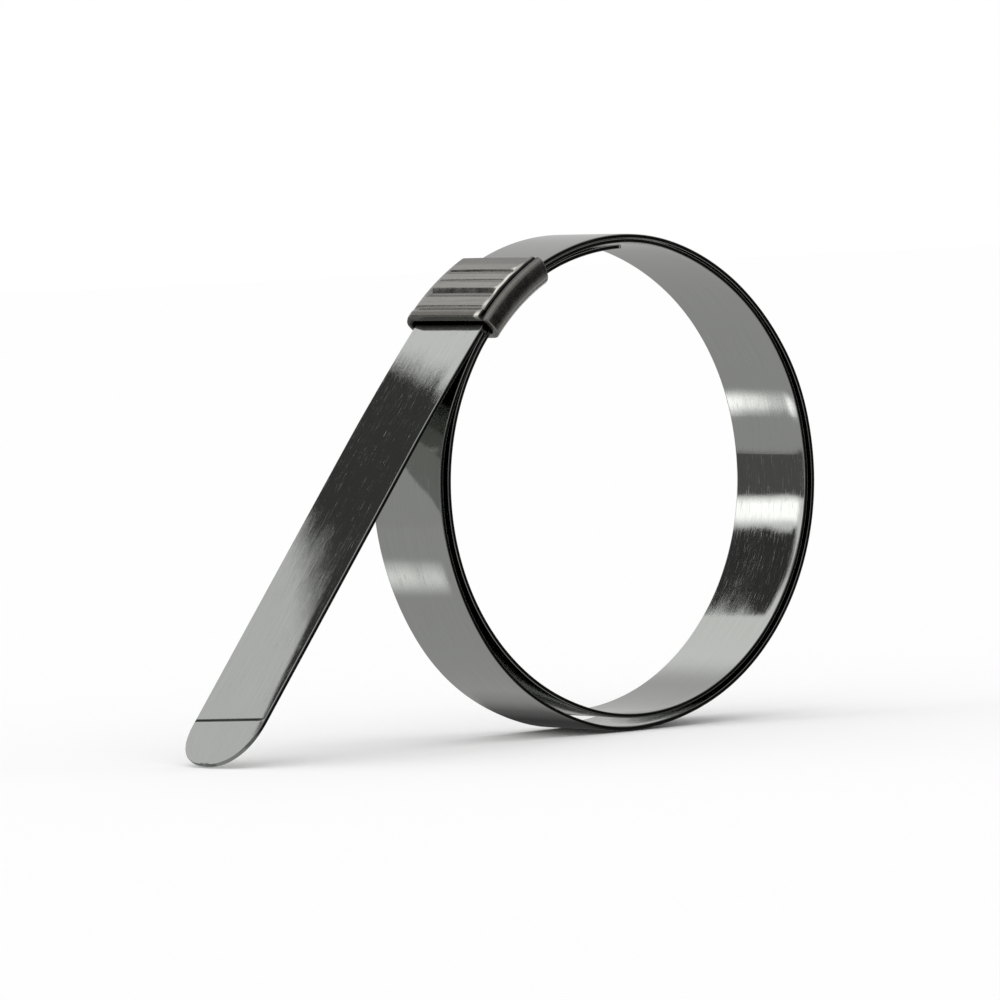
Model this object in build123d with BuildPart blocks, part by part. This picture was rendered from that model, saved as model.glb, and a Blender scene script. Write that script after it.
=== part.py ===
from build123d import *
from itertools import pairwise
from math import acos, atan2, cos, degrees, radians, sin
import os

# Preformed band clamp: one steel strip, wound twice round a bore and passed three times
# through a folded buckle. The bore runs along Y, and the clamp stands on its ring and on
# the tip of its tail. Sizes are in mm and degrees.

# ---- Strip
bore_radius = 34.925  # 2 3/4 in bore
band_width = 15.875  # 5/8 in
band_thickness = 0.635  # 0.025 in

# ---- Shape of the ring, which is a little longer towards the buckle
crown_widening = 0.427  # radius of the half that carries the buckle, over the bore's
crown_rise = 0.856  # from the bore axis to the crown's centre
shoulder_widening = 5.336  # radius of the flatter stretch between the two, over the bore's
buckle_angle = 128.2  # from +X to the middle of the buckle

# ---- Room between the layers of the strip
layer_gap = 0.03  # where they lie on each other
near_gap = 0.9  # below the buckle, where the outer wrap springs off the inner one
sag_gap = 1.45  # before the foot, where it hangs loosest
far_gap = 0.75  # on the side away from the buckle
crest_gap = 0.3  # before it climbs over the tongue
tongue_room = 0.08  # extra lift of the wraps over the tongue
tongue_seat = 0.05  # tongue above the floor of the buckle
tongue_hang = 0.15  # its end hangs this much lower

# ---- Where the strip changes layer, in degrees round the crown from the buckle's middle
tongue_angle = -38.7
hang_angles = (-34, -12)
tongue_angles = (-2, 18)
climb_angles = (285, 322)
follow_angles = (350, 370)
loosen_angles = (374, 408)
sag_angles = (428, 468)
settle_angles = (486, 524)
tighten_angles = (604, 642)
tail_angle = 730.5

# ---- Tail
tail_bend_radius = 380
tail_bend_angle = 3.6
tip_length = 8.15  # from the crease to the end
tip_bend_angle = 2  # away from the ring
tip_flat = 0.09  # half of the straight edge left at the very end
tongue_corner = 1.2
crease_depth = 0.12
crease_radius = 0.3

# ---- Buckle
sheet = 1.0
side_clearance = 0.96  # band to each side wall
buckle_length = 14.4  # along its top
bore_clearance = 0.045  # bore to the underside of the buckle
roof_clearance = 0.5  # outer wrap to the roof of the buckle
seam_gap = 0.2
curl_radius = 0.9  # outer edge of the front wall, rolled in towards the seam
ridge_height = 0.3
ridge_width = 1.3
lip_height = 0.35
lip_reach = 0.3
groove_margin = 1.3
grooves = [(3.9, 0.9, 0.25), (6.2, 0.6, 0.12), (8.9, 1.7, 0.4), (12.4, 1.0, 0.3)]  # place, width, depth

# ---- Worked out: the four arcs of the ring, each tangent to the next
crown_radius = bore_radius + crown_widening
shoulder_radius = bore_radius + shoulder_widening
crown_offset = shoulder_radius - crown_radius
bore_cosine = (shoulder_widening**2 + crown_rise**2 - crown_offset**2) / (2 * shoulder_widening * crown_rise)
bore_half = acos(bore_cosine)
crown_half = atan2(shoulder_widening * sin(bore_half), crown_rise - shoulder_widening * cos(bore_half))
crown_end = degrees(crown_half)
bore_start = 180 - degrees(bore_half)
crown_x = crown_rise * cos(radians(buckle_angle))
crown_z = crown_rise * sin(radians(buckle_angle))

# ---- Worked out: the buckle's floor and roof, measured from the crown's centre
buckle_underside = bore_radius + bore_clearance - crown_rise
floor_radius = buckle_underside + sheet
layer_pitch = band_thickness + layer_gap
tongue_drop = crown_radius - floor_radius - tongue_seat
roof_radius = crown_radius + 2 * layer_pitch + band_thickness + roof_clearance
top_radius = roof_radius + sheet
buckle_half = degrees(buckle_length / 2 / top_radius)

# ---- Worked out: every step of the strip from one layer to another (start, end, rise)
climb_rise = layer_pitch - tongue_drop + tongue_room
follow_rise = tongue_drop - tongue_room
steps = [
    (*hang_angles, tongue_hang),
    (*tongue_angles, tongue_drop),
    (*climb_angles, climb_rise),
    (*follow_angles, follow_rise),
    (*loosen_angles, near_gap - layer_gap),
    (*sag_angles, sag_gap - near_gap),
    (*settle_angles, far_gap - sag_gap),
    (*tighten_angles, crest_gap - far_gap),
    (climb_angles[0] + 360, climb_angles[1] + 360, climb_rise + layer_gap - crest_gap),
    (follow_angles[0] + 360, follow_angles[1] + 360, follow_rise),
]


def ring_radius(turn):
    """Inner radius of the bare ring at a turn."""
    side = abs((turn + 180) % 360 - 180)
    if side < crown_end:
        return crown_radius
    if side < bore_start:
        return shoulder_radius
    return bore_radius


def strip_radius(turn):
    """Radius of the strip's middle at a turn: each step is a flat arc and then a tight one."""
    radius = ring_radius(turn) - tongue_drop - tongue_hang + band_thickness / 2
    for start, end, rise in steps:
        middle = (start + end) / 2
        swing = rise / (2 * (1 - cos(radians(middle - start))))
        if start < turn < middle:
            radius += swing
        elif middle < turn < end:
            radius += rise - swing
        elif turn > end:
            radius += rise
    return radius


def lift(turn):
    """Rise of the strip at a turn, from all the steps before it."""
    total = 0
    for start, end, rise in steps:
        reach = radians(end - start) / 2
        begun = min(max(radians(turn - start), 0), reach)
        left = min(max(radians(end - turn), 0), reach)
        total += rise / 2 * (1 + (cos(left) - cos(begun)) / (1 - cos(reach)))
    return total


def on_crown(turn, radius):
    """Point of the ring's plane at a turn and radius from the crown's centre."""
    angle = radians(buckle_angle + turn)
    return (crown_x + radius * cos(angle), crown_z + radius * sin(angle))


foot_turn = 360 + 270 - buckle_angle
foot_level = -(bore_radius - tongue_drop - tongue_hang + lift(foot_turn) + band_thickness)
ring_ends = [turn for end in (crown_end, bore_start) for turn in (end, 360 - end, 360 + end, 720 - end)]
step_ends = [turn for start, end, rise in steps for turn in (start, (start + end) / 2, end)]
turns = sorted({tongue_angle, *ring_ends, *step_ends, tail_angle})

# ---- Band: one strip from the tongue to the tip of the tail
with BuildPart() as band:
    with BuildSketch(Plane.XZ):
        with BuildLine():
            point = on_crown(tongue_angle, strip_radius(tongue_angle))
            heading = Vector(1, 0).rotate(Axis.Z, buckle_angle + tongue_angle + 90)
            for start, end in pairwise(turns):
                arc = JernArc(point, heading, strip_radius((start + end) / 2), end - start)
                point, heading = arc @ 1, arc % 1
            bend = JernArc(point, heading, tail_bend_radius, tail_bend_angle)
            tail_heading = bend % 1
            tip_heading = tail_heading.rotate(Axis.Z, -tip_bend_angle)
            tip_drop = tip_length * tip_heading.Y + band_thickness / 2 * tip_heading.X
            tail_run = (foot_level - tip_drop - (bend @ 1).Y) / tail_heading.Y
            tail = Line(bend @ 1, bend @ 1 + tail_run * tail_heading)
            tip = Line(tail @ 1, tail @ 1 + tip_length * tip_heading)
        trace(line_width=band_thickness)
    extrude(amount=band_width / 2, both=True)

    # Rounded ends: the four short edges across the thickness
    tip_end = Vector((tip @ 1).X, 0, (tip @ 1).Y)
    across = band.edges().filter_by(lambda edge: abs(edge.length - band_thickness) < band_thickness / 100)
    fillet(across.sort_by_distance(tip_end)[:2], band_width / 2 - tip_flat)
    tongue_x, tongue_z = on_crown(tongue_angle, strip_radius(tongue_angle))
    across = band.edges().filter_by(lambda edge: abs(edge.length - band_thickness) < band_thickness / 100)
    fillet(across.sort_by_distance(Vector(tongue_x, 0, tongue_z))[:2], tongue_corner)

    # Crease: a shallow scored line across the outer face, before the tip
    outward = tail_heading.rotate(Axis.Z, -90)
    crease = tail @ 1 + outward * (band_thickness / 2 + crease_radius - crease_depth)
    with Locations((crease.X, 0, crease.Y)):
        Cylinder(crease_radius, band_width * 2, rotation=(90, 0, 0), mode=Mode.SUBTRACT)

# ---- Buckle: one folded sheet, carried round the crown's centre
floor_middle = floor_radius - sheet / 2
roof_middle = roof_radius + sheet / 2
wall_inside = band_width / 2 + side_clearance
wall_middle = wall_inside + sheet / 2
fold_radius = side_clearance + sheet / 2
roof_edge = wall_inside - seam_gap
first_angle = radians(buckle_angle - buckle_half)
radial = Vector(cos(first_angle), 0, sin(first_angle))
along = Vector(-sin(first_angle), 0, cos(first_angle))
crown_centre = Vector(crown_x, 0, crown_z)

with BuildPart() as buckle:
    with BuildSketch(Plane(crown_centre, x_dir=radial, z_dir=along)) as fold:
        with BuildLine():
            folds = [
                (roof_middle, -roof_edge),
                (roof_middle, wall_middle),
                (floor_middle, wall_middle),
                (floor_middle, -wall_middle),
                (top_radius, -wall_middle),
            ]
            FilletPolyline(*folds, radius=fold_radius)
        trace(line_width=sheet)
        curl = fold.vertices().sort_by_distance((top_radius, -wall_inside - sheet))[0]
        fillet(curl, curl_radius)
        with Locations((top_radius, ridge_width / 2 - roof_edge)):
            Ellipse(ridge_height, ridge_width / 2)
    revolve(axis=Axis(crown_centre, (0, -1, 0)), revolution_arc=2 * buckle_half)

    # Lip: the edge where the tail comes out is rolled over into a bead
    lip_radius = (sheet + lip_height) / 2
    lip_turn = buckle_half - degrees((lip_radius - lip_reach) / top_radius)
    lip_x, lip_z = on_crown(lip_turn, roof_radius + lip_radius)
    lip_width = roof_edge + wall_middle - fold_radius
    with Locations((lip_x, lip_width / 2 - roof_edge, lip_z)):
        Cylinder(lip_radius, lip_width, rotation=(90, 0, 0))

    # Grooves pressed across the top, short of the ridge and of the back wall
    groove_start = ridge_width - roof_edge
    groove_end = wall_inside - groove_margin
    for place, width, depth in grooves:
        groove_radius = (width**2 / 4 + depth**2) / (2 * depth)
        groove_turn = degrees(place / top_radius) - buckle_half
        groove_x, groove_z = on_crown(groove_turn, top_radius + groove_radius - depth)
        with Locations((groove_x, (groove_start + groove_end) / 2, groove_z)):
            Cylinder(groove_radius, groove_end - groove_start, rotation=(90, 0, 0), mode=Mode.SUBTRACT)

# ---- Parts
band.part.label = "band"
buckle.part.label = "buckle"
os.makedirs("parts", exist_ok=True)
export_step(band.part, "parts/band.step")
export_step(buckle.part, "parts/buckle.step")
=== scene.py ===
# %% [markdown]
# # A preformed band clamp, dressed on its CAD model
# The clamp is one stainless strip, wound twice round a hose and threaded through a folded
# buckle. Polished steel has almost no colour of its own. What is seen is the room around it,
# so half of this lesson is the metal, and the other half is the cards placed for it to reflect.

# %% Load the frame
from math import acos, atan2, degrees, radians

import bpy
import numpy as np
from mathutils import Matrix, Vector


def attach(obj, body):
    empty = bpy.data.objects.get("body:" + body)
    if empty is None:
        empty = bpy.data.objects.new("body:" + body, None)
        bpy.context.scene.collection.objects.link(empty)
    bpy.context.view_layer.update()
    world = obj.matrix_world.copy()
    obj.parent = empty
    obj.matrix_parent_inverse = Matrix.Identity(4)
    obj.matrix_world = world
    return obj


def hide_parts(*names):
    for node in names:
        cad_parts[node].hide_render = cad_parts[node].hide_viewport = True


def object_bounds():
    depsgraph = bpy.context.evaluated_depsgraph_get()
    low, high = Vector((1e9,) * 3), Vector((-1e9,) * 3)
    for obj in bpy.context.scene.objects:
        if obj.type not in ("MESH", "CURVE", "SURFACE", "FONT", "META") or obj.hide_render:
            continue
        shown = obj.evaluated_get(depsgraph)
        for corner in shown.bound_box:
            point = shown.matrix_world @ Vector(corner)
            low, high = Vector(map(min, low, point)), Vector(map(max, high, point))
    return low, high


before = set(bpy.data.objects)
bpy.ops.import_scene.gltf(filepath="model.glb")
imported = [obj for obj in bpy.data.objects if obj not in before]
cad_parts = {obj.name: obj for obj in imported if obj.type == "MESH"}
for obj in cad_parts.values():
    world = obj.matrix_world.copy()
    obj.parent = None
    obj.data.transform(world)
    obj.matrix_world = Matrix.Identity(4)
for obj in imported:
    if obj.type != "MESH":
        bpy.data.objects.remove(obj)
cad_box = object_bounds()
scene = bpy.context.scene
print("nodes:", sorted(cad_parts))

# %% [markdown]
# ## Sizes
# The dressed strip has to lie where the CAD strip lies, so it starts from the same sizes, in
# millimetres and degrees. They could be read off the CAD mesh, but a mesh has lost the arcs
# that it was made from. A turn is an angle round the crown of the ring, counted from the
# middle of the buckle, and it keeps growing through both wraps.

# %% Sizes of the strip
MM = 0.001
bore_radius = 34.925
band_width = 15.875
band_thickness = 0.635
buckle_angle = 128.2  # from +X to the middle of the buckle
crown_widening = 0.427  # radius of the half that carries the buckle, over the bore's
crown_rise = 0.856  # from the bore axis to the crown's centre
shoulder_widening = 5.336  # radius of the flatter stretch between the two, over the bore's
sheet = 1.0  # the buckle's own thickness
bore_clearance = 0.045  # bore to the underside of the buckle
print("bore", 2 * bore_radius, "mm, strip", band_width, "x", band_thickness, "mm")

# %% Room between the layers of the strip
layer_gap = 0.03  # where they lie on each other
near_gap = 0.9  # below the buckle
sag_gap = 1.45  # before the foot, where the outer wrap hangs loosest
far_gap = 0.75  # on the side away from the buckle
crest_gap = 0.3  # before it climbs over the tongue
tongue_room = 0.08  # extra lift of the wraps over the tongue
tongue_seat = 0.05  # tongue above the floor of the buckle
tongue_hang = 0.15  # its end hangs this much lower
print("gaps between the wraps", (near_gap, sag_gap, far_gap, crest_gap), "mm")

# %% Sizes of the tail and of the two ends
tongue_angle, tail_angle = -38.7, 730.5  # the turns where the strip begins and the tail leaves
tail_bend_radius, tail_bend_angle = 380, 3.6
tip_length, tip_bend_angle = 8.15, 2
tip_flat = 0.09  # half of the straight edge left at the very end
tongue_corner = 1.2
crease_depth, crease_radius = 0.12, 0.3
print("tip", tip_length, "mm from its bend to its end")

# %% [markdown]
# ## The ring's arcs and layers
# A wound strip springs open a little, most of all towards the buckle, so the ring isn't quite
# round. An ellipse could be fitted to it, but the strip was bent over round tools, and four
# arcs come nearer to that: one under the buckle, one opposite, and two flatter shoulders
# between them. Three layers lie in the buckle, the tongue, the first wrap over it
# and the second on top, and outside it the strip steps gently from one layer to the next.

# %% Radii of the ring, worked out so that each arc is tangent to the next
crown_radius = bore_radius + crown_widening
shoulder_radius = bore_radius + shoulder_widening
crown_offset = shoulder_radius - crown_radius
bore_half = acos(
    (shoulder_widening**2 + crown_rise**2 - crown_offset**2) / (2 * shoulder_widening * crown_rise)
)
crown_half = atan2(
    shoulder_widening * np.sin(bore_half), crown_rise - shoulder_widening * np.cos(bore_half)
)
crown_end, bore_start = degrees(crown_half), 180 - degrees(bore_half)
crown_centre = crown_rise * np.array([np.cos(radians(buckle_angle)), np.sin(radians(buckle_angle))])
print("crown radius", round(crown_radius, 3), "shoulder radius", round(shoulder_radius, 3))

# %% Steps of the strip from one layer to another
floor_radius = bore_radius + bore_clearance - crown_rise + sheet
tongue_drop = crown_radius - floor_radius - tongue_seat
climb_rise = band_thickness + layer_gap - tongue_drop + tongue_room
follow_rise = tongue_drop - tongue_room
steps = np.array([  # start, end, rise
    (-34, -12, tongue_hang),  # the tongue comes up from its hanging end
    (-2, 18, tongue_drop),  # and leaves the buckle's floor for the bore
    (285, 322, climb_rise),  # the first wrap climbs over the tongue
    (350, 370, follow_rise),  # and follows the step that the tongue makes in the buckle
    (374, 408, near_gap - layer_gap),  # the second wrap springs off the first
    (428, 468, sag_gap - near_gap),
    (486, 524, far_gap - sag_gap),  # and comes back to it
    (604, 642, crest_gap - far_gap),
    (645, 682, climb_rise + layer_gap - crest_gap),  # climbs as the first wrap did
    (710, 730, follow_rise),
])
print("steps", len(steps), "rising", round(steps[:, 2].sum(), 2), "mm in all")

# %% [markdown]
# ## The strip's middle line
# The strip is a chain of arcs that share their tangents. It could be drawn as a curve with
# handles, but handles only come near an arc, and polished steel shows every small unevenness
# in its reflections. Along a chain of arcs the direction of the normal is the turn itself, so
# the line is found without following the arcs one by one: each short stretch adds its radius
# times the change of the normal. Changing layer is two arcs, one flatter and one tighter than
# the ring, which lift the strip and leave it parallel.

# %% Normal and radius at every turn
def normal_at(turn):
    """Unit normals (x, z) at the turns: the cosine and sine of the buckle's angle plus the turn."""
    angle = np.radians(buckle_angle + turn)
    return np.stack([np.cos(angle), np.sin(angle)], axis=-1)


def radius_at(turn):
    """Radius of the middle line: the ring's own arc, plus for each step the swing in its first
    half, the rise less the swing in its second half, and the whole rise after it."""
    side = np.abs((turn + 180) % 360 - 180)
    arcs = [side < crown_end, side < bore_start]
    ring = np.select(arcs, [crown_radius, shoulder_radius], bore_radius)
    start, end, rise = steps.T[:, :, None]
    middle = (start + end) / 2
    swing = rise / (2 * (1 - np.cos(np.radians(middle - start))))
    lift = np.select([turn < start, turn < middle, turn < end], [0, swing, rise - swing], rise)
    return ring - tongue_drop - tongue_hang + band_thickness / 2 + lift.sum(axis=0)


# %% Walk the ring, with a point at every change of radius
ring_ends = [t for end in (crown_end, bore_start) for t in (end, 360 - end, 360 + end, 720 - end)]
step_ends = np.concatenate([steps[:, 0], steps[:, :2].mean(axis=1), steps[:, 1]])
even_turns = np.linspace(tongue_angle, tail_angle, 620)
turns = np.unique(np.concatenate([even_turns, ring_ends, step_ends]))
tongue_end = crown_centre + radius_at(np.array([tongue_angle]))[0] * normal_at(tongue_angle)
moves = radius_at((turns[1:] + turns[:-1]) / 2)[:, None] * np.diff(normal_at(turns), axis=0)
ring_line = tongue_end + np.vstack([np.zeros(2), np.cumsum(moves, axis=0)])
print("ring points", len(ring_line), "lowest", round(ring_line[:, 1].min(), 2), "mm")

# %% [markdown]
# ## The tail
# The free end leaves the ring in a long gentle bend and then runs straight down to the floor,
# so that the clamp stands on its ring and on the tip. The straight run's length is therefore
# not a size of its own: it is whatever brings the tip down to the level of the foot. Rows of
# points lie close together where the crease crosses and where the end rounds off, and wide
# apart on the straight run, where nothing changes.

# %% Bend into the tail, then run straight to the tip
bend_turns = tail_angle + np.linspace(0, tail_bend_angle, 25)
bend_line = ring_line[-1] + tail_bend_radius * (normal_at(bend_turns) - normal_at(tail_angle))
tail_turn = bend_turns[-1]
tip_turn = tail_turn - tip_bend_angle
tail_way, tip_way = normal_at(tail_turn + 90), normal_at(tip_turn + 90)
foot_level = cad_box[0][2] / MM
tip_drop = tip_length * tip_way[1] + band_thickness / 2 * tip_way[0]
tail_run = (foot_level - tip_drop - bend_line[-1][1]) / tail_way[1]
print("tail", round(tail_run, 2), "mm straight")

# %% Rows of points along the tail and the tip
crease_marks = np.linspace(-0.85, 1.15, 41)  # distances from the bend of the tip
closest_rows = 0.015  # rows closer than this would make slivers
before_bend = tail_run + crease_marks[crease_marks < 0]
tail_steps = np.unique(np.concatenate([np.linspace(0, tail_run, 60)[1:], before_bend]))
tail_line = bend_line[-1] + tail_steps[:, None] * tail_way
tip_corner = band_width / 2 - tip_flat
tip_ease = tip_corner * (1 - np.cos(np.linspace(0, np.pi / 2, 34)))
tip_steps = np.unique(np.concatenate([[0.0], crease_marks[crease_marks > 0], tip_length - tip_ease]))
tip_steps = tip_steps[np.append(True, np.diff(tip_steps) > closest_rows)][1:]
tip_line = bend_line[-1] + tail_run * tail_way + tip_steps[:, None] * tip_way
line = np.vstack([ring_line, bend_line[1:], tail_line, tip_line])
line_turn = np.concatenate([
    turns, bend_turns[1:], np.full(len(tail_line), tail_turn), np.full(len(tip_line), tip_turn)
])
print("strip points", len(line))

# %% [markdown]
# ## The strip's section
# Slitting the strip from a wide coil leaves its edges slightly rounded, and one edge of each
# cut is rolled over a little. The rounding is only a tenth of a millimetre, but with shade
# painted on it, it draws the dark line along every edge, and the roll-over the dark border
# beside it. A Bevel modifier could round the edges, but here the round corners are simply
# part of the section, so their points stay in even rows along the whole strip.

# %% Section of a flat strip as a loop of points
def flat_section(width, thickness, rounding, flats):
    """A closed loop (across, out) round a flat strip: flats points over each face, and at each
    edge two quarter circles of the rounding with a short straight side between them."""
    half, face = width / 2 - rounding, thickness / 2
    hold = 0.07  # a first point this close keeps the face flat up to the rounding
    over = np.concatenate([[-half], np.linspace(-half + hold, half - hold, flats), [half]])
    arc = np.radians(np.linspace(0, 90, 5)[1:-1])
    corner = np.stack([half + rounding * np.sin(arc), face - rounding + rounding * np.cos(arc)], axis=1)
    side = np.array([(width / 2, face - rounding), (width / 2, rounding - face)])
    top = np.stack([over, np.full(len(over), face)], axis=1)
    loop = np.vstack([top, corner, side, (corner * (1, -1))[::-1]])
    return np.vstack([loop, -loop])


edge_radius = 0.12
section = flat_section(band_width, band_thickness, edge_radius, 33)
print("section points", len(section))

# %% [markdown]
# ## Round ends
# Both ends of the strip are cut round. A circle would do for the tongue, which hardly shows,
# but the tip is a little squarer than a half circle, so both follow a superellipse. Where the
# outline curves, a point's inset, its distance in from the edge, is measured square to the
# outline. The rounded edge then runs on round the tip with its full width, instead of being
# squeezed to a blade.

# %% Outline of the strip along its length, with its rounded ends
gone = np.concatenate([[0], np.cumsum(np.linalg.norm(np.diff(line, axis=0), axis=1))])
left = gone[-1] - gone
end_power = 2.35  # 2 would be a circle
end_radius = np.where(left < gone, tip_corner, tongue_corner)
beyond = np.clip(1 - np.minimum(left, gone) / end_radius, 0, 1)
narrowing = (1 - beyond**end_power) ** (1 / end_power)
half_width = band_width / 2 - end_radius * (1 - narrowing)
steepness = np.hypot(beyond ** (end_power - 1), narrowing ** (end_power - 1))
end_sine = np.sign(gone - left) * beyond ** (end_power - 1) / steepness
end_cosine = narrowing ** (end_power - 1) / steepness
print("strip length", round(gone[-1], 1), "mm")

# %% Place of every point across the strip, and back from its row
rim = 0.3  # width of the border that follows the outline
least_room = 0.02  # keeps the points of the border apart where the strip ends
full = band_width / 2
inset = full - np.abs(section[:, 0])
rim_inset = np.minimum(inset, rim)
within = half_width[:, None] - end_cosine[:, None] * rim_inset
inner_share = np.abs(section[:, 0]) * (half_width[:, None] - end_cosine[:, None] * rim) / (full - rim)
across = np.sign(section[:, 0]) * np.where(
    inset < rim, np.maximum(within, least_room * (rim - inset)), inner_share
)
pulled_back = end_sine[:, None] * rim_inset
print("widest", round(float(np.ptp(across)), 3), "mm")

# %% [markdown]
# ## Crease and drooping edge
# A line is scored across the tail just before the tip, so that the tip can be turned up, and
# it runs slightly askew. Cutting it out with a Boolean would leave long thin faces, so the
# outer face is lowered instead, by the depth of a round-nosed tool, and the score runs out
# before the front edge. The front edge itself droops as a parabola, everywhere but inside the
# buckle, where the strip has no room for it.

# %% How far the outer face is lowered
def soft(value, low, high):
    """Smooth step from 0 at low to 1 at high: three times the square less twice the cube."""
    part = np.clip((value - low) / (high - low), 0, 1)
    return part * part * (3 - 2 * part)


crease_shift, crease_skew = 0.15, 0.057
crease_end, crease_run_out = 7.6, 1.2  # the score begins this far from the middle, over this run
crease_at = gone[:, None] - (gone[-1] - tip_length) - crease_shift - crease_skew * across
tool = np.sqrt(np.maximum(crease_radius**2 - crease_at**2, 0))
crease_dip = np.clip(crease_depth - crease_radius + tool, 0, None)
on_outer_face = section[:, 1] > 0.9 * band_thickness / 2
crease_dip = crease_dip * np.clip((across + crease_end) / crease_run_out, 0, 1) * on_outer_face
droop_width, droop = 2.2, 0.055
front_inset = np.clip(1 - (full + across) / droop_width, 0, 1)
from_buckle = np.abs((line_turn + 180) % 360 - 180)
tail_gone = gone - gone[len(turns) - 1]
drooping = np.maximum(soft(from_buckle, 11, 22), soft(tail_gone, 0.3, 8))
out = section[:, 1] - crease_dip - droop * drooping[:, None] * front_inset**2
print("crease", round(float(crease_dip.max()), 2), "mm deep")

# %% [markdown]
# ## From points to a piece
# Both pieces of the clamp are a section carried along a line, so one helper makes the mesh of
# either from its grid of points. It also writes the distances along and around as a UV map,
# in metres, because the lines in rolled and pressed steel follow the metal round its bends.

# %% Mesh of a section carried along a line
def grid_mesh(name, points, along, around, layer):
    """A mesh from a grid of points: row after row joined by quads, each row closed on itself,
    a cap at each end, and the distances along and around written as a UV map."""
    rows, columns = points.shape[:2]
    row, column = np.meshgrid(np.arange(rows - 1), np.arange(columns), indexing="ij")
    beside = (column + 1) % columns
    here, ahead = row * columns, (row + 1) * columns
    quads = np.stack([here + column, here + beside, ahead + beside, ahead + column], axis=-1)
    caps = [list(range(columns))[::-1], list(range((rows - 1) * columns, rows * columns))]
    mesh = bpy.data.meshes.new(name)
    mesh.from_pydata(points.reshape(-1, 3), [], quads.reshape(-1, 4).tolist() + caps)
    corners = np.zeros(len(mesh.loops), int)
    mesh.loops.foreach_get("vertex_index", corners)
    closing = np.zeros(len(mesh.loops), bool)  # corners of the quads that close the loop
    closing[: quads.size] = np.repeat((beside == 0).reshape(-1), 4)
    lap = around[-1] + abs(around[1] - around[0])
    place = around[corners % columns] + np.where(closing & (corners % columns == 0), lap, 0)
    uv = mesh.uv_layers.new(name=layer)
    uv.data.foreach_set("uv", np.stack([along[corners // columns], place], axis=1).ravel())
    mesh.polygons.foreach_set("use_smooth", np.ones(len(mesh.polygons), bool))
    mesh.update()
    piece = bpy.data.objects.new(name, mesh)
    scene.collection.objects.link(piece)
    return piece


def distance_round(loop):
    """Distance from the first point of a loop to each of its points, along the loop."""
    return np.concatenate([[0], np.cumsum(np.linalg.norm(np.diff(loop, axis=0), axis=1))])


# %% The strip, in the place of the CAD band
normals, ways = normal_at(line_turn), normal_at(line_turn + 90)
plane = line[:, None] + out[..., None] * normals[:, None] - pulled_back[..., None] * ways[:, None]
strip_points = np.stack([plane[..., 0], across, plane[..., 1]], axis=-1)
strip = grid_mesh("strip", strip_points * MM, gone * MM, distance_round(section) * MM, "strip")
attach(strip, "root")
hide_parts("band")
print("strip faces", len(strip.data.polygons))

# %% [markdown]
# ## The buckle
# The buckle is one piece of sheet, folded into a flat sleeve: its top, round the back, its
# floor, and up the front, where it is rolled in to meet the top's edge. It is made here as it
# is made in the press. The folded line comes first, then the sheet's section across it, then
# the forms pressed into the top, and last the whole sleeve is bent round the crown.

# %% Sizes of the buckle
side_clearance, roof_clearance = 0.96, 0.5  # strip to each side wall, and to the roof
buckle_length = 14.4
seam_gap = 0.2  # edge of the top to the front wall
curl_radius = 0.9  # outer edge of the front wall, rolled in towards the seam
ridge_height, ridge_width = 0.3, 1.3
lip_height, lip_reach = 0.3, 0.05  # bead over the top, and past its end
roof_short = 0.35  # the top ends this much before the floor
grooves = np.array([  # place, width, depth
    (3.9, 0.9, 0.25), (6.2, 0.6, 0.12), (8.9, 1.7, 0.4), (12.4, 1.0, 0.3)
])
wall_inside = band_width / 2 + side_clearance
wall_middle = wall_inside + sheet / 2
roof_edge = wall_inside - seam_gap
fold_radius = side_clearance + sheet / 2
roof_radius = crown_radius + 2 * layer_gap + 3 * band_thickness + roof_clearance
roof_middle, top_radius = roof_radius + sheet / 2, roof_radius + sheet
floor_middle = floor_radius - sheet / 2
print("buckle top at", round(top_radius, 3), "mm from the crown's centre")

# %% [markdown]
# ## The folded line
# The press folds the sheet in seven stretches: four nearly flat and three round. None of the
# angles is quite square, because the sheet springs back, and the front wall bulges a little.
# So the line is not drawn through corners. Each stretch has a length and a bend, the heading
# grows evenly along it, and the points follow from the headings.

# %% Lengths and bends of the seven stretches
seam_room = 0.25  # the top stops this much further from the seam
front_pull = 0.4  # and the front wall stands this much nearer to the strip
front_length = 2.99
fold_length = np.pi / 2 * fold_radius
stretches = np.array([  # length, bend
    (roof_edge - seam_room + wall_middle - fold_radius, -1.5),  # top, from the seam
    (fold_length, -87),
    (roof_middle - floor_middle - 2 * fold_radius, -4),  # back wall
    (fold_length, -88.5),
    (2 * (wall_middle - fold_radius) - front_pull, 0),  # floor
    (fold_length, -72),
    (front_length, -36),  # front wall, bulged and rolled in
])
first_heading = 1
lengths, bends = stretches.T
fold_ends = np.concatenate([[0], np.cumsum(lengths)])
print("sheet", round(fold_ends[-1], 1), "mm wide before folding")

# %% Follow the headings
def along_headings(steps, heading):
    """Points (across, out) of a line from its headings: each step goes on by its own length in
    the direction that its middle has."""
    middle = np.radians((heading[1:] + heading[:-1]) / 2)
    moves = np.diff(steps)[:, None] * np.stack([np.cos(middle), np.sin(middle)], axis=1)
    return np.vstack([np.zeros(2), np.cumsum(moves, axis=0)])


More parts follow.
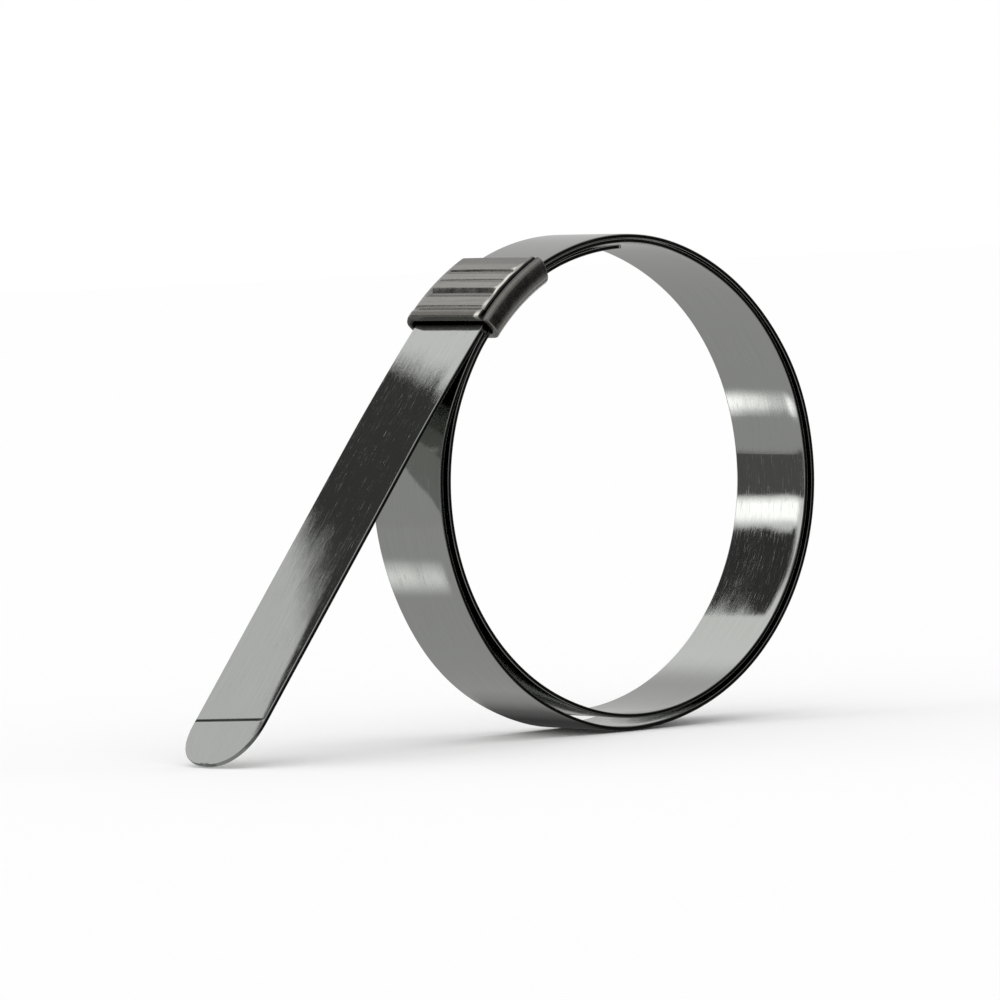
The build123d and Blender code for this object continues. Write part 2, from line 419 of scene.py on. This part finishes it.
even_steps = np.arange(0, fold_ends[-1], 0.16)
curl_steps = fold_ends[-1] - curl_radius * (1 - np.cos(np.radians(np.arange(0, 91, 6))))
edge_steps = 0.5 * sheet * (1 - np.cos(np.radians(np.arange(0, 91, 10))))  # at the top's edge
fold_steps = np.unique(np.concatenate([fold_ends, even_steps, curl_steps, edge_steps]))
headings = first_heading + np.concatenate([[0], np.cumsum(bends)])
heading = np.interp(fold_steps, fold_ends, headings)
fold = along_headings(fold_steps, heading)
middle_of_floor = np.abs(fold_steps - fold_ends[4:6].mean()).argmin()
fold += (seam_room - roof_edge, floor_middle - fold[middle_of_floor, 1])
fold_out = np.stack([-np.sin(np.radians(heading)), np.cos(np.radians(heading))], axis=1)
print("folded line", len(fold), "points, from", fold[0].round(2), "to", fold[-1].round(2))

# %% [markdown]
# ## The sheet's cut edges
# A stamped edge is never sharp. Tumbling rounds it by a tenth, and the edge of the front wall
# is rolled in with nearly the sheet's whole thickness. Both are a quarter circle, by which the
# faces of the sheet come nearer to its middle towards the edge.

# %% The sheet's section, and the rounding of its edges
sheet_rounding = 0.2
sheet_section = flat_section(buckle_length, sheet, sheet_rounding, 131)[::-1]  # faces outwards
along_buckle, face = sheet_section.T
outer = face > 0
fold_left = fold_ends[-1] - fold_steps
curl_near = np.clip(curl_radius - fold_left, 0, curl_radius)
curl_drop = curl_radius - np.sqrt(curl_radius**2 - curl_near**2)
burr = 0.12
edge_near = np.clip(burr - np.minimum(fold_steps, fold_left), 0, burr)
edge_drop = burr - np.sqrt(burr**2 - edge_near**2)
outer_drop = np.where(fold_left < fold_steps, curl_drop, edge_drop)
rise = np.where(outer, face - outer_drop[:, None], face + edge_drop[:, None])
print("sheet points", rise.size)

# %% [markdown]
# ## Forms pressed into the top
# Four cross grooves stiffen the top, and their tool has pushed metal up into a ridge along
# the seam, which rises and falls with the grooves beside it. Where the tail comes out, the
# edge is rolled over into a bead, so that it doesn't cut the strip. All of them are heights
# added to the outer face, as functions of two distances: from the entry and from the seam.

# %% Grooves across the top
from_entry = along_buckle + buckle_length / 2
from_seam = fold_steps[:, None]
back_fold = 17.6  # from the seam, where the top has gone round into the back wall
place, width, depth = grooves.T[:, :, None]
groove_reach = 0.72 * width  # the sides of a groove are eased beyond its named width
dip = (depth * np.cos(np.pi / 2 * np.clip((from_entry - place) / groove_reach, -1, 1)) ** 2).sum(axis=0)
groove_part = soft(from_seam, 0.8, 1.6) * (1 - soft(from_seam, 16.0, 17.0))
print("deepest groove", round(float(dip.max()), 2), "mm")

# %% Ridge beside the seam
scallop, scallop_length, scallop_drift, scallop_start = 0.28, 4.6, 9.1, 8.0
scallops = np.cos(2 * np.pi * (from_entry - scallop_start) / scallop_length)
waves = 1 - scallop + scallop * scallops * np.cos(2 * np.pi * from_entry / scallop_drift)
ridge = ridge_height * waves * np.sin(np.pi * np.clip(from_seam / ridge_width, 0, 1)) ** 0.8
ridge_part = 1 - 0.7 * soft(from_entry, 12.6, 13.4)  # it sinks towards the lip
roof_rise = (ridge * ridge_part - dip * groove_part) * (from_seam < back_fold)
print("ridge", round(float(ridge.max()), 2), "mm high")

# %% Bead at the lip, where the tail comes out
bead_radius = 0.68
lip_start = buckle_length - sheet - lip_height - roof_short
bead = np.sqrt(np.clip(1 - ((from_entry - lip_start - bead_radius) / bead_radius) ** 2, 0, 1))
bead = np.where(from_entry > lip_start + bead_radius, 1, bead) * (1 - soft(from_seam, 16.2, back_fold))
rise = rise + outer * np.maximum(roof_rise, -sheet / 2) + outer * lip_height * bead
reaching = soft(face, -sheet / 2, sheet / 2) * (from_entry > lip_start)
forward = along_buckle + lip_reach * bead * reaching
forward = forward - roof_short * soft(from_entry, 11, buckle_length) * (1 - soft(from_seam, 16.6, 18.4))
print("top is", round(float(rise.max()), 2), "mm above the sheet's middle at most")

# %% Bend the sleeve round the crown, in the place of the CAD buckle
sheet_y = fold[:, :1] + fold_out[:, :1] * rise
sheet_r = fold[:, 1:] + fold_out[:, 1:] * rise
flat = crown_centre + sheet_r[..., None] * normal_at(np.degrees(forward / top_radius))
buckle_points = np.stack([flat[..., 0], sheet_y, flat[..., 1]], axis=-1)
around_sheet = distance_round(sheet_section)
sleeve = grid_mesh("sleeve", buckle_points * MM, fold_steps * MM, around_sheet * MM, "sheet")
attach(sleeve, "root")
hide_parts("buckle")
print("sleeve faces", len(sleeve.data.polygons))

# %% [markdown]
# ## Helpers for the steels
# Both steels are a Principled shader with a few layers of noise. The noise is stretched along
# the metal, because rolling and drawing leave lines, and no picture has to be loaded for it.
# Colours are laid over each other like coats of paint, and small heights are stacked as bumps.

# %% A material, a node, a stretched noise and a range
def new_material(name):
    """A node material, its node tree and its Principled shader."""
    material = bpy.data.materials.new(name)
    material.use_nodes = True
    return material, material.node_tree, material.node_tree.nodes["Principled BSDF"]


def node(tree, kind, inputs=None, **settings):
    """One node of a kind, with its settings and its input values."""
    made = tree.nodes.new(kind)
    for key, value in settings.items():
        setattr(made, key, value)
    for key, value in (inputs or {}).items():
        made.inputs[key].default_value = value
    return made


def stretched_noise(tree, source, scale, stretch, detail=4.0, roughness=0.6):
    """Noise over a vector, whose first axis is divided by stretch before the noise."""
    mapping = node(tree, "ShaderNodeMapping", {"Scale": (1 / stretch, 1, 1)})
    settings = {"Scale": scale, "Detail": detail, "Roughness": roughness}
    noise = node(tree, "ShaderNodeTexNoise", settings)
    tree.links.new(source, mapping.inputs["Vector"])
    tree.links.new(mapping.outputs["Vector"], noise.inputs["Vector"])
    return noise.outputs["Fac"]


def ramp(tree, value, low, high, out_low, out_high):
    """A value carried from the range low..high to out_low..out_high, and held there."""
    ranges = {"From Min": low, "From Max": high, "To Min": out_low, "To Max": out_high}
    made = node(tree, "ShaderNodeMapRange", ranges)
    tree.links.new(value, made.inputs["Value"])
    return made.outputs["Result"]


# %% A coat of colour, and a layer of small heights
def coat(tree, below, colour, factor):
    """A colour laid over what is below, a colour or a socket: the mean weighted by the factor."""
    made = node(tree, "ShaderNodeMix", data_type="RGBA")
    made.inputs["B"].default_value = colour
    if isinstance(below, tuple):
        made.inputs["A"].default_value = below
    else:
        tree.links.new(below, made.inputs["A"])
    tree.links.new(factor, made.inputs["Factor"])
    return made.outputs["Result"]


def bumps(tree, height, strength, distance, below=None):
    """A normal tilted by the slope of a height, on top of the bumps below it."""
    made = node(tree, "ShaderNodeBump", {"Strength": strength, "Distance": distance})
    tree.links.new(height, made.inputs["Height"])
    if below is not None:
        tree.links.new(below, made.inputs["Normal"])
    return made.outputs["Normal"]


# %% [markdown]
# ## Polished steel
# Stainless strip comes off the rolls nearly as a mirror. It is grey because it returns about
# half of the light, and it is never perfect: rolling leaves fine lines along it, handling
# leaves scratches, and the strip is not quite flat. Shade is painted black into the score and
# the slit edges, since light that falls into them doesn't come out. This painted shade is
# kept on the mesh as an attribute, because it follows the form and not a pattern in space.

# %% Painted shade in the score and on the slit edges, kept on the mesh
def keep_on_mesh(piece, name, values):
    """Write one colour for each point of a piece as an attribute of its mesh."""
    kept = piece.data.color_attributes.new(name, "FLOAT_COLOR", "POINT")
    kept.data.foreach_set("color", values.ravel())


# Painted shade: the score and the rounded slit edges are painted black.
edge_darkness = 0.72
crease_shade = soft(crease_dip, 0, 0.3 * crease_depth)
edge_shade = edge_darkness * (inset < 0.8 * edge_radius)
strip_shade_values = np.zeros((*strip_points.shape[:2], 4))
strip_shade_values[..., :3] = np.maximum(crease_shade, edge_shade)[..., None]
keep_on_mesh(strip, "scored", strip_shade_values)
print("scored points", int((crease_shade > 0.5).sum()))

# %% The strip's steel
def strip_steel():
    """Mirror-like steel: fine streaks along the strip in colour and height, painted black shade in
    the score and along the edges, scratches in roughness, and a slow wave in height."""
    steel, tree, shader = new_material("polished_steel")
    shader.inputs["Metallic"].default_value = 1.0
    place = node(tree, "ShaderNodeUVMap", uv_map="strip").outputs["UV"]
    streaks = stretched_noise(tree, place, scale=14000, stretch=160)
    scratches = stretched_noise(tree, place, scale=3800, stretch=18, detail=10, roughness=0.8)
    patches = stretched_noise(tree, place, scale=190, stretch=2.5)
    slow = stretched_noise(tree, place, scale=90, stretch=2, detail=1)
    dark, light, black = (0.425, 0.435, 0.415, 1), (0.515, 0.525, 0.505, 1), (0.06, 0.06, 0.055, 1)
    shade_mask = node(tree, "ShaderNodeVertexColor", layer_name="scored").outputs["Color"]
    streaked = coat(tree, dark, light, ramp(tree, streaks, 0.3, 0.7, 0, 1))
    # Painted shade: black over the score and the slit edges.
    tree.links.new(coat(tree, streaked, black, shade_mask), shader.inputs["Base Color"])
    rough = node(tree, "ShaderNodeMath", operation="ADD")
    tree.links.new(ramp(tree, scratches, 0.55, 0.7, 0.035, 0.5), rough.inputs[0])
    tree.links.new(ramp(tree, patches, 0.5, 0.7, 0, 0.05), rough.inputs[1])
    tree.links.new(rough.outputs["Value"], shader.inputs["Roughness"])
    wave = bumps(tree, slow, strength=1.0, distance=0.00007)
    lines = bumps(tree, streaks, strength=0.1, distance=0.00002, below=wave)
    tree.links.new(lines, shader.inputs["Normal"])
    return steel


strip.data.materials.append(strip_steel())
print("strip material", strip.data.materials[0].name)

# %% [markdown]
# ## The buckle's steel
# The buckle is stamped from thicker sheet. Pressing has dulled it, and the tool has drawn lines
# across its top. A highlight is painted on the ridge beside the seam, shade over the front wall,
# in the grooves, at the lip and the entry, and black shade at the seam's edges and inside. One
# attribute keeps them: red is painted highlight, green painted shade, blue black painted shade.

# %% Painted highlights on the ridge
# Painted highlight: a bright line along the ridge beside the seam, and two bright spots on it.
on_ridge = soft(from_seam, 0.3, 0.5) * (1 - soft(from_seam, 1.2, 1.7))
painted_highlight = on_ridge * soft(waves, 0.4, 0.85) * soft(from_entry, 1.5, 4)
highlight_places = np.array([3.2, 8.0])[:, None, None]  # two bright spots, from the entry
spot_length, spot_width, spot_seam = 0.4, 0.55, 1.5
spot_along, spot_across = (from_entry - highlight_places) / spot_length, (from_seam - spot_seam) / spot_width
highlight_spots = np.exp(-(spot_along**2) - spot_across**2).sum(axis=0)
painted_highlight = outer * (painted_highlight + highlight_spots * (from_seam > 0.4))
print("most rubbed", round(float(painted_highlight.max()), 2))

# %% Painted shade, and black painted shade
on_top = from_seam < 19
front_fold = soft(fold_steps, fold_ends[5] - 0.5, fold_ends[5] + 1)[:, None]
at_lip = soft(from_entry, 12.9, 13.6) * on_top
at_entry = (1 - soft(from_entry, 1.6, 2.4)) * (from_seam < 17)
in_groove = np.clip(dip * groove_part, 0, 0.5) * outer
# Painted shade: the front wall, the lip, the grooves and the entry are painted darker.
painted_shade = 0.7 * front_fold + at_lip + 1.4 * in_groove + 0.45 * at_entry
seam_edges = (1 - soft(from_seam, 0.22, 0.36)) + (1 - soft(fold_left, 0.0, 0.22))[:, None]
# Black painted shade: the seam's edges and the inside of the top.
black_painted_shade = seam_edges + (~outer & on_top)
painted_light_marks = [painted_highlight, painted_shade, black_painted_shade, np.ones_like(painted_highlight)]
# The attribute holds painted light: highlight in red, shade in green, black shade in blue.
keep_on_mesh(sleeve, "painted_light", np.clip(np.stack(painted_light_marks, axis=-1), 0, 1))
print("stained points", int((painted_shade > 0.5).sum()), "black_painted_shade", int((black_painted_shade > 0.5).sum()))

# %% The buckle's steel
def buckle_steel():
    """Duller steel: cloudy roughness and height, lines drawn across the top, darker with painted
    shade, brighter with painted highlight, and black with painted shade at the seam and inside."""
    steel, tree, shader = new_material("buckle_steel")
    shader.inputs["Metallic"].default_value = 1.0
    place = node(tree, "ShaderNodeUVMap", uv_map="sheet").outputs["UV"]
    cloud = stretched_noise(tree, place, scale=420, stretch=1)
    drawn = stretched_noise(tree, place, scale=5200, stretch=60, detail=6)
    painted_light = node(tree, "ShaderNodeVertexColor", layer_name="painted_light").outputs["Color"]
    marks = node(tree, "ShaderNodeSeparateColor")
    tree.links.new(painted_light, marks.inputs["Color"])
    dark, light = (0.21, 0.207, 0.195, 1), (0.31, 0.306, 0.288, 1)
    shade_grey, highlight_grey, black = (0.12, 0.115, 0.105, 1), (0.82, 0.81, 0.74, 1), (0.02, 0.02, 0.018, 1)
    colour = coat(tree, dark, light, ramp(tree, drawn, 0.3, 0.7, 0, 1))
    # Painted shade, darker.
    colour = coat(tree, colour, shade_grey, ramp(tree, marks.outputs["Green"], 0, 1, 0, 0.85))
    # Painted highlight, near white, on the ridge.
    colour = coat(tree, colour, highlight_grey, marks.outputs["Red"])
    # Black painted shade.
    colour = coat(tree, colour, black, marks.outputs["Blue"])
    tree.links.new(colour, shader.inputs["Base Color"])
    tree.links.new(ramp(tree, cloud, 0.35, 0.7, 0.2, 0.34), shader.inputs["Roughness"])
    clouds = bumps(tree, cloud, strength=0.3, distance=0.0001)
    lines = bumps(tree, drawn, strength=0.25, distance=0.00003, below=clouds)
    tree.links.new(lines, shader.inputs["Normal"])
    return steel


sleeve.data.materials.append(buckle_steel())
print("sleeve material", sleeve.data.materials[0].name)

# %% [markdown]
# ## World and floor
# The surroundings are white, so the world is a plain white at strength 1, and no lamp is
# needed: a white world lights the clamp from everywhere, and the floor darkens only where the
# clamp stands close over it. The floor is nearly white and hidden from reflections, because
# the cards do that work.

# %% The white world
world = bpy.data.worlds.new("white_room")
scene.world = world
world.use_nodes = True
background = world.node_tree.nodes["Background"]
background.inputs["Color"].default_value = (1, 1, 1, 1)
background.inputs["Strength"].default_value = 1.0
scene.view_settings.view_transform = "Standard"
print("world", world.name)

# %% The pale floor
floor_half = 3.0
floor_drop = 0.0001  # just under the foot, so that they don't share a plane
floor_height = cad_box[0][2] - floor_drop
floor_corners = floor_half * np.array([(-1, -1), (1, -1), (1, 1), (-1, 1)])
floor_mesh = bpy.data.meshes.new("floor")
floor_mesh.from_pydata([(x, y, floor_height) for x, y in floor_corners], [], [(0, 1, 2, 3)])
floor = bpy.data.objects.new("floor", floor_mesh)
scene.collection.objects.link(floor)
floor_paint, _, floor_shader = new_material("pale_floor")
floor_shader.inputs["Base Color"].default_value = (0.99, 0.99, 0.99, 1)
floor_shader.inputs["Roughness"].default_value = 1.0
floor_shader.inputs["Specular IOR Level"].default_value = 0.0
floor_mesh.materials.append(floor_paint)
floor.visible_glossy = False
print("floor at", round(floor_height / MM, 2), "mm")

# %% [markdown]
# ## Cards for the metal to show
# A mirror in a white room is a white shape on white. Steel looks like steel once dark, grey
# and white cards stand around it and the metal shows those. Lamps could make the bright
# bands, but not the dark ones, which give polished metal its depth. Only reflections see the
# cards: they light nothing, shade nothing, and the camera looks straight through them. A card
# with sharp edges makes the sharp bands seen in a flat strip, and one that fades out makes
# the soft bands of a curved one.

# %% A card's glow, and its place in the room
def glow(name, grey, fading):
    """A card's material: an even glow of one grey, or where it fades, the mean of that glow and
    nothing, weighted by the mesh's own attribute."""
    material, tree, shader = new_material(name)
    tree.nodes.remove(shader)
    light = node(tree, "ShaderNodeEmission", {"Color": (grey, grey, grey, 1), "Strength": 1.0})
    surface = light.outputs["Emission"]
    if fading:
        fade = node(tree, "ShaderNodeVertexColor", layer_name="fade").outputs["Color"]
        mix = node(tree, "ShaderNodeMixShader")
        tree.links.new(fade, mix.inputs["Fac"])
        tree.links.new(node(tree, "ShaderNodeBsdfTransparent").outputs["BSDF"], mix.inputs[1])
        tree.links.new(surface, mix.inputs[2])
        surface = mix.outputs["Shader"]
    tree.links.new(surface, tree.nodes["Material Output"].inputs["Surface"])
    return material


def hang(mesh, grey, fading=False):
    """Hang a card in the room, where only reflections see it."""
    piece = bpy.data.objects.new(mesh.name, mesh)
    scene.collection.objects.link(piece)
    mesh.materials.append(glow(mesh.name, grey, fading))
    piece.visible_camera = piece.visible_diffuse = piece.visible_shadow = False
    print("card", mesh.name, "of grey", grey)
    return piece


# %% Cards with sharp edges
def card(name, corners, grey):
    """A flat card through its corners."""
    mesh = bpy.data.meshes.new(name)
    mesh.from_pydata([Vector(c) * MM for c in corners], [], [list(range(len(corners)))])
    return hang(mesh, grey)


def back_card(name, outline, grey, depth=600):
    """A card standing behind the clamp at a depth, from its outline (x, z)."""
    return card(name, [(x, depth, z) for x, z in outline], grey)


# %% Cards that fade out
def soft_card(name, corners, grey, edge):
    """A card that fades out at its edges: a grid between its four corners, each point a mean of
    the corners weighted by its place, whose glow rises as a smooth step from each edge in."""
    count = 25
    u, v = np.meshgrid(np.linspace(0, 1, count), np.linspace(0, 1, count), indexing="ij")
    fade = soft(np.minimum(u, 1 - u), 0, edge) * soft(np.minimum(v, 1 - v), 0, edge)
    weights = np.stack([(1 - u) * (1 - v), u * (1 - v), u * v, (1 - u) * v], axis=-1)
    points = weights @ np.array(corners, float)
    row, column = np.meshgrid(np.arange(count - 1), np.arange(count - 1), indexing="ij")
    corner = (row * count + column).ravel()
    quads = np.stack([corner, corner + 1, corner + count + 1, corner + count], axis=1)
    mesh = bpy.data.meshes.new(name)
    mesh.from_pydata((points * MM).reshape(-1, 3), [], quads.tolist())
    kept = mesh.color_attributes.new("fade", "FLOAT_COLOR", "POINT")
    kept.data.foreach_set("color", np.repeat(fade.ravel(), 4))
    return hang(mesh, grey, fading=True)


# %% [markdown]
# ## Cards for the ring
# The far side of the bore is a hollow mirror. It shows what stands behind the clamp upside
# down, so the high window gives its lower bright band, the high dark card the black band
# under that, and a small window low and close behind the clamp the upper bright band. The
# outer wrap bulges, so it shows the room upright and small: one more small window and a grey
# card are enough for it. Two large greys fill what is left, so that no part shines white.

# %% Behind the clamp, far away
back_card("dark_card", [
    (-131, 494), (-131, 486), (-221, 414), (-300, 330), (-432, 195),
    (-546, 372), (-380, 640), (-260, 640), (-168, 510),
], 0.05)
back_card("lower_grey", [(-899, -51), (-868, -931), (731, -875), (700, 4)], 0.46)
soft_card("window_high", [
    (-540, 595, 76), (-435, 595, 80), (-417, 595, 208), (-522, 595, 203)
], 2.2, edge=0.3)
back_card("mid_dark", [(-640, -115), (-400, -115), (-400, 78), (-640, 78)], 0.12, depth=596)
soft_card("upper_grey", [
    (120, 598, -200), (1300, 598, -200), (1300, 598, 1000), (120, 598, 1000)
], 0.58, edge=0.16)

# %% Behind the clamp, nearer
soft_card("window_inner", [
    (-103, 200, -118), (-134, 200, -89), (-106, 200, -59), (-75, 200, -88)
], 2.1, edge=0.45)
soft_card("window_outer", [
    (-146, 199, -160), (-184, 199, -112), (-151, 199, -86), (-113, 199, -134)
], 1.3, edge=0.5)
back_card("left_grey", [(-172, -62), (-260, -62), (-260, 70), (-172, 70)], 0.44, depth=200)

# %% [markdown]
# ## Cards for the tail, the buckle and the foot
# The tail is flat, so it shows one small part of the room at its full size: a dark card above
# and behind it gives the black middle, and a light one below that the light lower end. The
# buckle's front wall and the edges of the strip face forward, to a grey card with a dark one
# before it. The camera's own side is dark, as it is behind a lens. A dark card under the foot
# is a painted shadow, which keeps the strip's underside from shining white at the floor.

# %% Above and behind the tail
back_card("tail_dark", [
    (-46, 96), (-55.4, 110.8), (-62.6, 118.9), (-83, 141), (-135, 141), (-135, 70), (-70, 70)
], 0.06, depth=121)
back_card("tail_light", [
    (-78, 82.5), (-96, 78.5), (-125, 74), (-125, 36), (-84, 36), (-78, 60)
], 0.83, depth=120)

# %% In front, on the camera's side and under the foot
card("front_grey", [
    (-100, -520, -500), (1300, -320, -500), (1300, -320, 600), (-100, -520, 600)
], 0.55)
soft_card("front_dark", [
    (-50, -480, -210), (1100, -300, -210), (1100, -300, 190), (-50, -480, 190)
], 0.02, edge=0.2)
card("lens_dark", [
    (-1700, -900, -600), (-700, -1700, -600), (-700, -1700, 700), (-1700, -900, 700)
], 0.05)
foot_card_level = (cad_box[0][2] - floor_drop / 2) / MM
# Painted shadow: a dark card where the floor's shadow under the ring would be reflected.
soft_card("foot_dark", [
    (x, y, foot_card_level) for x, y in [(-20, -12), (60, -12), (60, 17), (-20, 17)]
], 0.05, edge=0.12)
print("foot card at", round(foot_card_level, 2), "mm")

# %% [markdown]
# ## Camera
# A long lens from well to the left and slightly above keeps the two wraps nearly parallel,
# as the eye sees a small thing from across a table. The view is tilted a little. The three
# directions of the camera are worked out and written into its matrix, because a tilt about
# the line of sight is plainer so than as three angles.

# %% The camera's directions
azimuth, elevation, roll = radians(-39.796), radians(2.684), radians(-1.971)
camera_place = (-0.79069, -0.92528, 0.05497)
back_way = Vector((
    np.sin(azimuth) * np.cos(elevation), -np.cos(azimuth) * np.cos(elevation), np.sin(elevation)
))
level_way = (-back_way).cross(Vector((0, 0, 1))).normalized()
upright_way = level_way.cross(-back_way)
right_way = np.cos(roll) * level_way + np.sin(roll) * upright_way
up_way = np.cos(roll) * upright_way - np.sin(roll) * level_way

# %% The camera
camera_data = bpy.data.cameras.new("camera")
camera_data.sensor_width = 36
camera_data.lens = 288
camera_data.clip_end = 20
camera = bpy.data.objects.new("camera", camera_data)
scene.collection.objects.link(camera)
directions = zip(right_way, up_way, back_way, camera_place)
camera.matrix_world = Matrix([*directions, (0, 0, 0, 1)])
scene.camera = camera
print("camera at", camera_place, "m")
